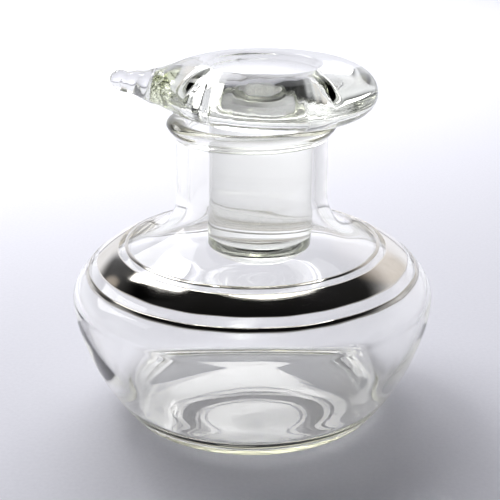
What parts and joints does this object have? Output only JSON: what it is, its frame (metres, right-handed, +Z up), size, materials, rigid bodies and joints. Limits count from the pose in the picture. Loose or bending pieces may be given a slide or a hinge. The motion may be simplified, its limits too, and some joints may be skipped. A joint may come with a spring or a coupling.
{
  "type": "perfume bottle with glass stopper",
  "caption": "Squat clear glass perfume bottle with silver rings on the shoulder and a loose glass stopper: solid plug, head hollowed on top, pulled finger tip.",
  "frame": {"origin": "centre of the foot on the table, on the bottle's axis", "axes": "+Z up along the bottle's axis; the stopper's pulled tip points along -X; -Y is the front"},
  "size_m": [0.1, 0.1, 0.0974],
  "materials": {
    "bottle_glass": "clear, fire-polished",
    "stopper_glass": "clear, fire-polished, faintly green where thick",
    "silver": "bright polished silver"
  },
  "bodies": {
    "bottle": {"bottle": "bottle_glass", "silver_band": "silver", "silver_line_lower": "silver", "silver_line_upper": "silver"},
    "stopper": {"stopper": "stopper_glass"}
  },
  "joints": [
    {"name": "stopper_lift", "type": "slide", "parent": "bottle", "child": "stopper", "axis": [0, 0, 1], "range_m": [0, 0.05]}
  ]
}
